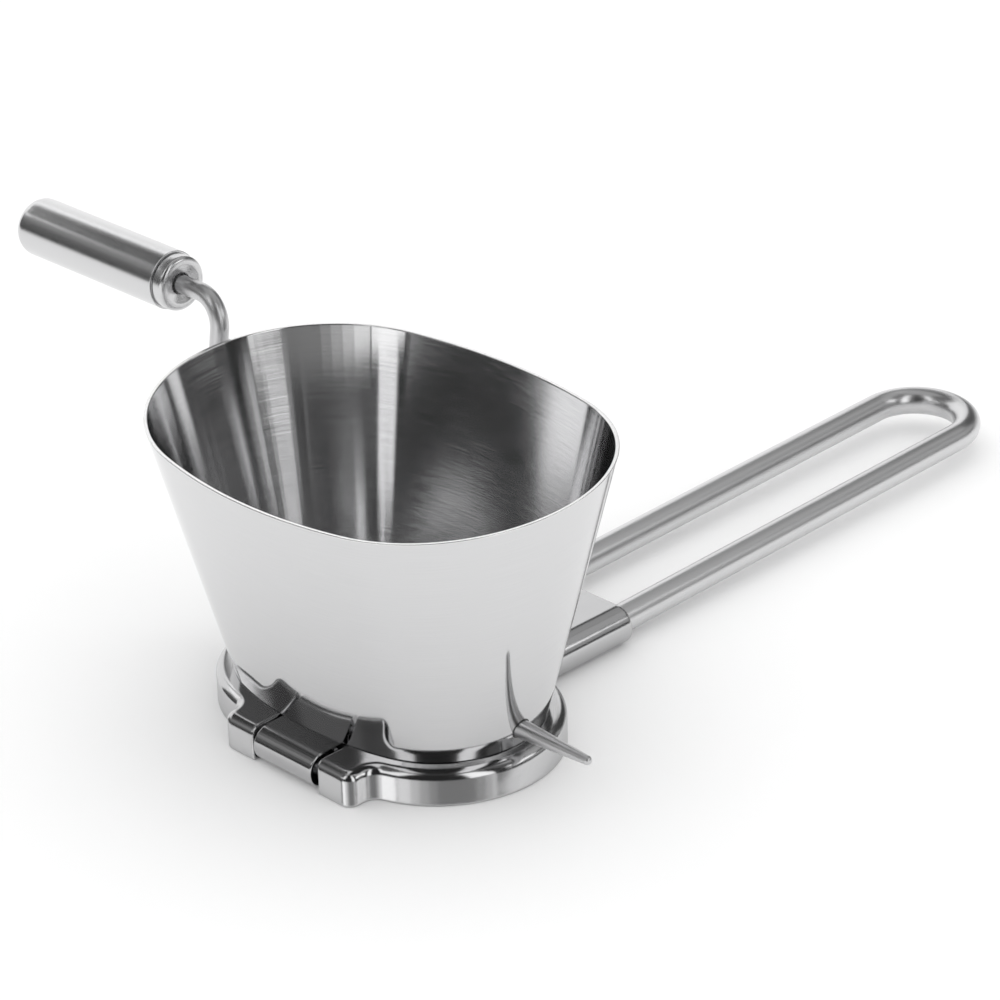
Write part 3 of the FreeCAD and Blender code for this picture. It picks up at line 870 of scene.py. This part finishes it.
@dataclass
class Base:
    """The polished casting, the loop of wire in its tongue, and the comb in its ring."""

    finishes: Finishes
    wire_radius: float = 3.8 * MM
    wire_spacing: float = 28.4 * MM
    socket_mouth: float = 66.0 * MM
    socket_depth: float = 24.0 * MM
    socket_height: float = 5.2 * MM
    loop_reach: float = 219.0 * MM
    rise: float = math.radians(1.1)
    columns: int = 72
    bend_steps: int = 40
    row_spacing: float = 4 * MM

    def loop(self) -> bpy.types.Object:
        """Makes the handle: a circle carried along two straight legs and the half-round bend that joins them.

        Returns:
            The wire, tipped up about the mouth of its sockets.
        """
        half = self.wire_spacing / 2
        start, end = self.socket_mouth - self.socket_depth, self.loop_reach - self.wire_radius
        corners = [(start, -half, 0), (end, -half, 0), (end, half, 0), (start, half, 0)]
        flat = rounded_line(corners, (0, half, half, 0), self.bend_steps)
        path = spread_rows(flat, self.row_spacing)
        lean = np.array(Matrix.Rotation(-self.rise, 3, "Y"))
        pivot = np.array((self.socket_mouth, 0.0, 0.0))
        path = (path - pivot) @ lean.T + pivot + Z_AXIS * self.socket_height
        grid = carried(path, np.full(len(path), self.wire_radius), lean @ Z_AXIS, self.columns)
        return grid_object("handle_loop", closed_ends(grid), around_length=2 * math.pi * self.wire_radius)

    def build(self) -> None:
        """Builds and dresses the base's pieces."""
        finish_piece(self.loop(), "loop_handle", "base", (self.finishes.wire,))
        dress_node("base_frame", self.finishes.casting)
        dress_node("hinge_pin", self.finishes.fastener)
        dress_node("comb_plate", self.finishes.cutter)
        dress_node("comb_screws", self.finishes.fastener)


@dataclass
class Crank:
    """The bent rod with its tapered point, and the rotor on its shaft."""

    finishes: Finishes
    rod_radius: float = 2.4 * MM
    point_start: float = -45.79 * MM
    point_length: float = 23.0 * MM
    tip_radius: float = 1.15 * MM
    arm_place: float = 67.85 * MM
    bend: float = 8.0 * MM
    throw: float = 74.6 * MM
    lean: float = math.radians(8.4)
    columns: int = 64
    bend_steps: int = 28
    row_spacing: float = 3 * MM
    tip_steps: int = 12
    tip_clear: float = 0.2 * MM

    def arm_direction(self) -> np.ndarray:
        """The way from the shaft to the grip's axle."""
        return np.array((math.sin(self.lean), 0.0, math.cos(self.lean)))

    def axle_center(self) -> np.ndarray:
        """The place on the grip's axle that is square to the middle of the shaft."""
        return shaft_center() + self.arm_direction() * self.throw

    def rod(self) -> bpy.types.Object:
        """Makes the rod: a circle carried along the shaft, the arm and the axle.

        Towards the point its radius falls in a straight line to the tip's, and the tip is half a ball.

        Returns:
            The rod.
        """
        tip = self.point_start - self.point_length
        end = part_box("crank_rod")[1].y
        corners = [(tip, 0), (self.arm_place, 0), (self.arm_place, self.throw), (end, self.throw)]
        flat = rounded_line(corners, (0, self.bend, self.bend, 0), self.bend_steps)
        flat = np.concatenate([[flat[0]], [(self.point_start, 0)], flat[1:]])
        flat = spread_rows(flat, self.row_spacing)
        ease = tip + self.tip_radius * (1 - np.cos(np.linspace(0, math.pi / 2, self.tip_steps)))
        past_tip = flat[flat[:, 0] > ease[-1] + self.tip_clear]
        flat = np.concatenate([np.column_stack([ease, np.zeros(len(ease))]), past_tip])
        along = np.where(flat[:, 1] > 0, self.arm_place, flat[:, 0])
        ball_end = tip + self.tip_radius
        cone = np.interp(along, [ball_end, self.point_start], [self.tip_radius, self.rod_radius])
        ball = np.sqrt(np.clip(self.tip_radius**2 - (along - tip - self.tip_radius) ** 2, 0, None))
        radii = np.where(along < ball_end, ball, cone)
        up = self.arm_direction()
        path = shaft_center() + flat[:, :1] * Y_AXIS + flat[:, 1:] * up
        grid = carried(path, radii, np.cross(Y_AXIS, up), self.columns)
        cap = np.repeat(path[-1][None, None], self.columns, axis=1)
        around = 2 * math.pi * self.rod_radius
        return grid_object("crank_rod_bent", np.concatenate([grid, cap]), around_length=around)

    def build(self) -> None:
        """Builds and dresses the crank's pieces."""
        finish_piece(self.rod(), "crank_rod", "crank", (self.finishes.rod,))
        for name in sorted(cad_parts):
            if name.startswith(("cutter_disc", "rotor_")):
                dress_node(name, self.finishes.cutter)
        dress_node("drive_pin", self.finishes.fastener)
        dress_node("axle_push_nut", self.finishes.fastener)


@dataclass
class Grip:
    """The grip's tube and collar, which turn on the crank's axle."""

    finishes: Finishes
    crank: Crank
    radius: float = 7.7 * MM
    wall: float = 0.9 * MM
    end_round: float = 3.5 * MM
    mouth_round: float = 0.25 * MM
    collar_radius: float = 7.2 * MM
    collar_length: float = 3.5 * MM
    collar_round: float = 1.3 * MM
    collar_crest: float = 5.2 * MM
    collar_dish: float = 0.9 * MM
    collar_mouth: float = 2.8 * MM
    collar_mouth_depth: float = 2.0 * MM
    lip_round: float = 0.3 * MM
    shoulder_round: float = 0.2 * MM
    bore: float = 2.45 * MM
    columns: int = 128
    row_spacing: float = 2 * MM

    def ring(self, name: str, corners: Sequence[Sequence[float]], bends: Sequence[float]) -> bpy.types.Object:
        """Turns a closed profile of rounded corners about the axle.

        Args:
            name: The piece's name.
            corners: Rows of radius and place along Y.
            bends: The round at each corner.

        Returns:
            The piece.
        """
        profile = rounded_line(corners, bends)
        profile = spread_rows(np.concatenate([profile, profile[:1]]), self.row_spacing)[:-1]
        center = self.crank.axle_center() * (1 - Y_AXIS)
        grid = turned(profile, center, Y_AXIS, self.columns)
        return grid_object(name, grid, True, 2 * math.pi * self.radius)

    def tube(self) -> bpy.types.Object:
        """Makes the tube: a thin wall, closed at its far end with a round edge.

        Returns:
            The tube.
        """
        low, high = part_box("grip_tube")
        start, end = low.y, high.y
        inner = self.radius - self.wall
        floor = end - self.wall
        corners = [
            (inner, start), (self.radius, start), (self.radius, end),
            (0.0, end), (0.0, floor), (inner, floor),
        ]
        bends = (self.mouth_round, self.mouth_round, self.end_round, 0, 0, self.end_round - self.wall)
        return self.ring("grip_sleeve", corners, bends)

    def collar(self) -> bpy.types.Object:
        """Makes the collar: a rounded flange, dished around the rod, with a spigot into the tube.

        Returns:
            The collar.
        """
        low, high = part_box("grip_collar")
        start, end = low.y, high.y
        spigot = self.radius - self.wall
        flange = start + self.collar_length
        deep = start + self.collar_mouth_depth
        corners = [
            (self.collar_mouth, start + self.collar_dish), (self.collar_crest, start),
            (self.collar_radius, start), (self.collar_radius, flange), (spigot, flange), (spigot, end),
            (self.bore, end), (self.bore, deep), (self.collar_mouth, deep),
        ]
        bends = (self.lip_round, self.collar_round, self.collar_round, self.shoulder_round, 0, 0, 0, 0, 0)
        return self.ring("grip_end_collar", corners, bends)

    def build(self) -> None:
        """Builds and dresses the grip's pieces."""
        finish_piece(self.tube(), "grip_tube", "grip", (self.finishes.tube,))
        finish_piece(self.collar(), "grip_collar", "grip", (self.finishes.collar,))
        dress_node("grip_bush", self.finishes.plastic)


# The studio


@dataclass
class Camera:
    """The photograph's viewpoint."""

    place: tuple[float, float, float] = (-558.519 * MM, -617.918 * MM, 482.0075 * MM)
    azimuth: float = math.radians(45.92762)
    pitch: float = math.radians(26.94856)
    roll: float = math.radians(-1.74835)
    focal_pixels: float = 3896.093
    image_pixels: float = 1000.0
    sensor_width: float = 36.0
    clip: tuple[float, float] = (0.01, 50.0)

    def build(self) -> None:
        """Makes the camera and makes it the scene's."""
        data = bpy.data.cameras.new("camera")
        data.sensor_width = self.sensor_width
        data.lens = self.focal_pixels / self.image_pixels * self.sensor_width
        data.clip_start, data.clip_end = self.clip
        made = linked("camera", data)
        heading = Matrix.Rotation(self.azimuth - math.pi / 2, 4, "Z")
        tipped = Matrix.Rotation(math.pi / 2 - self.pitch, 4, "X")
        rolled = Matrix.Rotation(self.roll, 4, "Z")
        made.matrix_world = Matrix.Translation(self.place) @ heading @ tipped @ rolled
        bpy.context.scene.camera = made


@dataclass(frozen=True)
class Card:
    """A curved studio card around the mill, which only the steel shows: a band of a wide upright cylinder."""

    name: str
    from_deg: float
    to_deg: float
    low: float
    high: float
    level: float
    radius: float = 1.1
    center_x: float = 0.0
    columns: int = 25

    def build(self) -> None:
        """Makes the card: its two heights by columns of directions, out of the camera's sight."""
        angles = np.radians(np.linspace(self.from_deg, self.to_deg, self.columns))
        heights = np.array((self.low, self.high))
        ring = np.column_stack([np.cos(angles), np.sin(angles), np.zeros_like(angles)]) * self.radius
        points = ring[None] + heights[:, None, None] * Z_AXIS + self.center_x * X_AXIS
        first = np.arange(self.columns - 1)
        above = first + self.columns
        quads = np.column_stack([first, first + 1, above + 1, above])
        mesh = bpy.data.meshes.new(self.name)
        mesh.from_pydata(points.reshape(-1, 3), [], quads)
        made = linked(self.name, mesh)
        made.visible_camera = False
        made.visible_shadow = False
        made.visible_diffuse = False
        paint = bpy.data.materials.new(self.name)
        paint.use_nodes = True
        paint.node_tree.nodes.clear()
        nodes = Nodes(paint.node_tree)
        glow = nodes.add("Emission", {"Color": (1, 1, 1, 1), "Strength": self.level})
        nodes.add("OutputMaterial", {"Surface": glow.outputs[0]})
        mesh.materials.append(paint)


@dataclass
class Studio:
    """The pale table, the white room, the soft light and the cards."""

    floor_half: float = 6.0
    floor_color: Color = (0.98, 0.98, 0.98)
    floor_roughness: float = 0.9
    room_light: float = 1.06
    room_in_steel: float = 0.15
    softbox_place: tuple[float, float, float] = (0.15, 0.15, 1.3)
    softbox_aim: tuple[float, float, float] = (0.0, 0.0, 0.03)
    softbox_size: float = 1.0
    softbox_power: float = 1.0
    cards: tuple[Card, ...] = (
        Card("front_low_white", -172, -161, 0.0, 0.25, 1.2),
        Card("front_low_pale", -161, -153, 0.0, 0.25, 0.85),
        Card("front_low_grey", -153, -145, 0.0, 0.25, 0.6),
        Card("front_low_dim", -145, -138, 0.0, 0.25, 0.42),
        Card("front_low_dark", -138, -106, 0.0, 0.25, 0.3),
        Card("front_flag", -172, -112, 0.26, 4.0, 0.03),
        Card("right_low_dim", -106, -98, 0.0, 0.25, 0.45),
        Card("right_low_grey", -98, -92, 0.0, 0.25, 0.65),
        Card("right_low_pale", -92, -88, 0.0, 0.25, 0.9),
        Card("right_strip", -111, -88, 0.26, 2.6, 1.7),
        Card("right_low_white", -88, -15, 0.0, 0.075, 1.2),
        Card("right_flag", -87, -71, 0.076, 2.6, 0.03),
        Card("right_low", -70, -15, 0.076, 0.44, 0.05),
        Card("right_panel", -70, -41, 0.45, 0.9, 2.0),
        Card("right_grey", -40, -15, 0.45, 0.75, 0.05),
        Card("right_upper", -40, -5, 0.76, 1.45, 0.55),
        Card("right_top", -44, 27, 1.46, 2.4, 0.5),
        Card("handle_card", -75, -12, 0.12, 0.27, 0.45, radius=0.45, center_x=0.14),
        Card("back_low", -14, 27, 0.0, 0.2, 0.6),
        Card("back_flag", -4, 27, 0.21, 0.90, 0.08),
        Card("back_white", 28, 100, 0.0, 0.70, 1.15),
        Card("back_dark", 28, 43, 0.71, 0.90, 0.05),
        Card("back_upper", -4, 43, 0.91, 1.45, 0.45),
        Card("back_panel", 44, 100, 0.71, 0.88, 1.7),
        Card("back_top_dark", 44, 100, 0.89, 1.6, 0.05),
        Card("left_low", 101, 162, 0.0, 0.2, 0.05),
        Card("left_grey", 101, 162, 0.21, 0.45, 0.14),
        Card("left_middle", 101, 162, 0.46, 0.60, 0.28),
        Card("left_near_panel", 101, 114, 0.61, 0.78, 1.6),
        Card("left_near_dark", 101, 114, 0.79, 1.4, 0.08),
        Card("grip_panel", 115, 141, 0.61, 0.80, 0.34),
        Card("grip_upper", 115, 141, 0.81, 1.4, 0.2),
        Card("left_far_panel", 142, 162, 0.61, 0.78, 1.6),
        Card("left_far_dark", 142, 162, 0.79, 1.4, 0.08),
        Card("left_strip_low", 163, 187, 0.0, 0.2, 1.7),
        Card("left_strip_dark", 163, 187, 0.21, 0.68, 0.05),
        Card("left_strip", 163, 187, 0.69, 2.6, 1.5),
    )

    def floor(self) -> None:
        """Makes the table: a wide pale plane under the mill."""
        half = self.floor_half
        corners = [(-half, -half, 0), (half, -half, 0), (half, half, 0), (-half, half, 0)]
        mesh = bpy.data.meshes.new("table")
        mesh.from_pydata(corners, [], [(0, 1, 2, 3)])
        made = linked("table", mesh)
        paint, nodes, shader = new_paint("pale table")
        nodes.join(shader, {"Base Color": (*self.floor_color, 1.0), "Roughness": self.floor_roughness})
        nodes.join(shader, {"Specular IOR Level": 0.0})
        mesh.materials.append(paint)

    def room(self) -> None:
        """Makes the white room: an even light from all round, which the steel shows dimmer than it lights."""
        world = bpy.data.worlds.new("white room")
        world.use_nodes = True
        nodes = Nodes(world.node_tree)
        in_steel = nodes.add("LightPath").outputs["Is Glossy Ray"]
        level = nodes.fit(in_steel, self.room_light, self.room_in_steel)
        nodes.join(world.node_tree.nodes["Background"], {"Color": (1, 1, 1, 1), "Strength": level})
        bpy.context.scene.world = world

    def softbox(self) -> None:
        """Makes the square soft light above the mill, which looks at it."""
        data = bpy.data.lights.new("top_softbox", "AREA")
        data.size = self.softbox_size
        data.energy = self.softbox_power
        made = linked("top_softbox", data)
        way = Vector(self.softbox_aim) - Vector(self.softbox_place)
        facing = way.to_track_quat("-Z", "Y").to_matrix().to_4x4()
        made.matrix_world = Matrix.Translation(self.softbox_place) @ facing
        made.visible_camera = False

    def build(self) -> None:
        """Builds the studio."""
        bpy.context.scene.view_settings.view_transform = "Standard"
        self.floor()
        self.room()
        for card in self.cards:
            card.build()
        self.softbox()


def main() -> None:
    """Builds the studio and the mill in order."""
    logging.basicConfig(level=logging.INFO, format="%(message)s")
    Camera().build()
    Studio().build()
    finishes = Finishes()
    Base(finishes).build()
    Hopper(finishes).build()
    crank = Crank(finishes)
    crank.build()
    Grip(finishes, crank).build()


if __name__ == "__main__":
    main()
